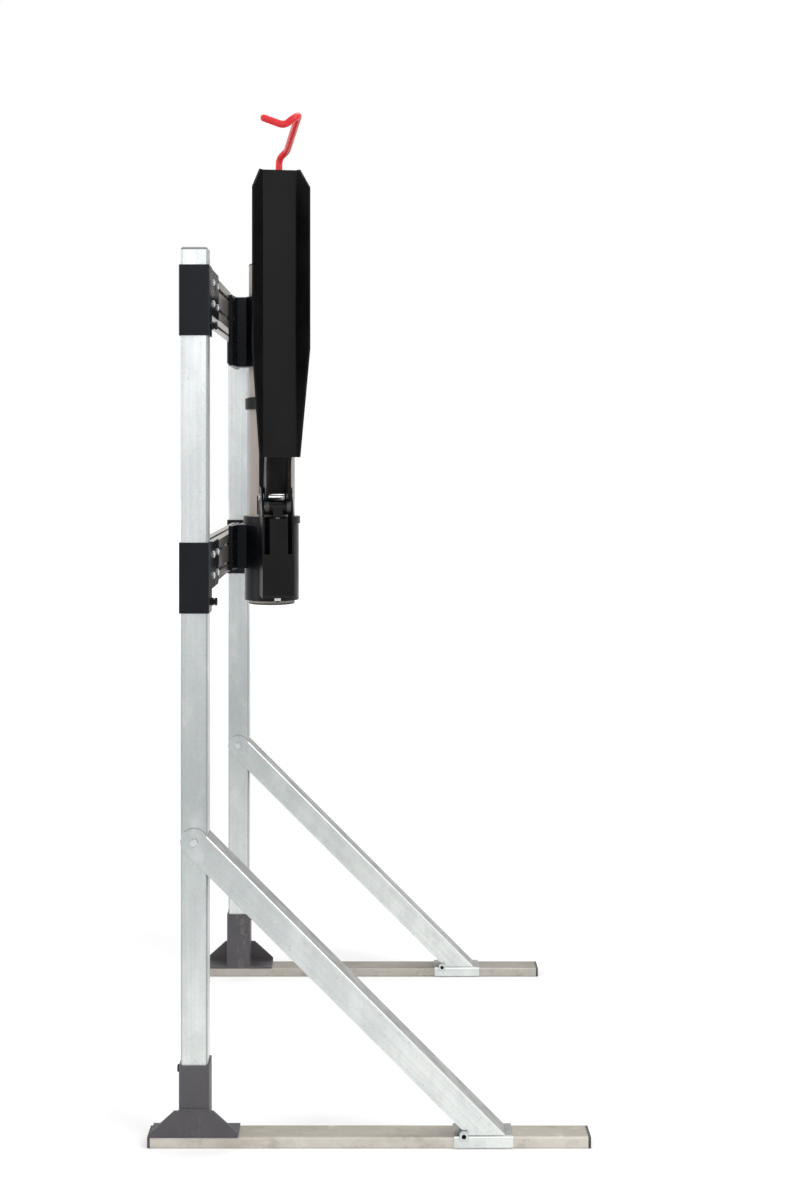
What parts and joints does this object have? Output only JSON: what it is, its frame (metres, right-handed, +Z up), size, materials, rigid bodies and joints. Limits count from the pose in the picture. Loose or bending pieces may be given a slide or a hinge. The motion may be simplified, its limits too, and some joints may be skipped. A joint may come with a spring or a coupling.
{
  "type": "wall bike lift",
  "caption": "Swivelling bike lift on a free-standing two-post frame: a gas-spring trough with a red hook swings the front wheel up and turns it flat along the beams.",
  "frame": {"origin": "on the floor, in the middle of the footprint", "axes": "+X along the feet, away from the posts; +Y from the front post to the rear post; +Z up"},
  "size_m": [0.826, 1.0756, 1.9489],
  "materials": {
    "zinc_tube": "satin",
    "galvanised": "satin",
    "grey_cap": "matte",
    "dark_cap": "matte",
    "dark_paint": "satin",
    "black_paint": "satin",
    "beam_anodised": "satin",
    "bright_screw": "polished",
    "black_screw": "satin",
    "bearing": "satin",
    "chrome_rod": "polished",
    "rubber": "matte",
    "red_coat": "gloss",
    "mast_paint": "satin"
  },
  "bodies": {
    "frame": {"post_front": "zinc_tube", "post_rear": "zinc_tube", "post_cap_front": "grey_cap", "post_cap_rear": "grey_cap", "foot_rail_front": "galvanised", "foot_rail_rear": "galvanised", "rail_caps": "dark_cap", "foot_bracket_front": "dark_paint", "foot_bracket_rear": "dark_paint", "socket_bolts": "black_screw", "brace_front": "zinc_tube", "brace_rear": "zinc_tube", "brace_bolts": "bright_screw", "saddle_front": "zinc_tube", "saddle_rear": "zinc_tube", "saddle_nuts": "bright_screw", "saddle_screws": "black_screw", "sleeve_upper_front": "black_paint", "sleeve_lower_front": "black_paint", "sleeve_upper_rear": "black_paint", "sleeve_lower_rear": "black_paint", "sleeve_bolts": "black_screw", "beam_upper": "beam_anodised", "beam_lower": "beam_anodised", "beam_screws": "bright_screw", "beam_nuts": "bright_screw", "swivel_bracket_upper": "black_paint", "swivel_bracket_lower": "black_paint", "bracket_screws": "black_screw", "bracket_nuts": "bright_screw", "swivel_bush_upper": "bearing", "swivel_bush_lower": "bearing"},
    "mast": {"mast": "mast_paint", "mast_caps": "dark_cap", "thrust_collar": "black_paint", "hinge_housing": "black_paint", "tie_bar": "black_screw", "hinge_axle": "bright_screw", "spring_foot": "black_paint", "gas_cylinder": "black_paint", "spring_nut": "bright_screw", "stop_arm": "black_paint", "stop_pad": "rubber"},
    "lift_arm": {"wheel_trough": "black_paint", "hinge_tube": "bright_screw", "lift_cam": "black_paint", "wheel_hook": "red_coat"},
    "spring_rod": {"gas_rod": "chrome_rod", "rod_clevis": "black_screw", "roller_pin": "bright_screw"},
    "roller": {"cam_roller": "bearing"}
  },
  "joints": [
    {"name": "mast_swivel", "type": "hinge", "parent": "frame", "child": "mast", "pos_m": [-0.214, 0, 1.3], "axis": [0, 0, 1], "range_deg": [-8, 168]},
    {"name": "arm_lift", "type": "hinge", "parent": "mast", "child": "lift_arm", "pos_m": [-0.19951, -0.09692, 1.2], "axis": [0.989, 0.1478, 0], "range_deg": [0, 100]},
    {"name": "rod_slide", "type": "slide", "parent": "mast", "child": "spring_rod", "axis": [0, 0, 1], "range_m": [-0.0699, 0]},
    {"name": "roller_spin", "type": "hinge", "parent": "spring_rod", "child": "roller", "pos_m": [-0.1936, -0.13648, 1.18], "axis": [0.989, 0.1478, 0], "continuous": true}
  ],
  "couplings": [
    {"joint": "rod_slide", "follows": "arm_lift", "m_per_rad": -0.04}
  ]
}
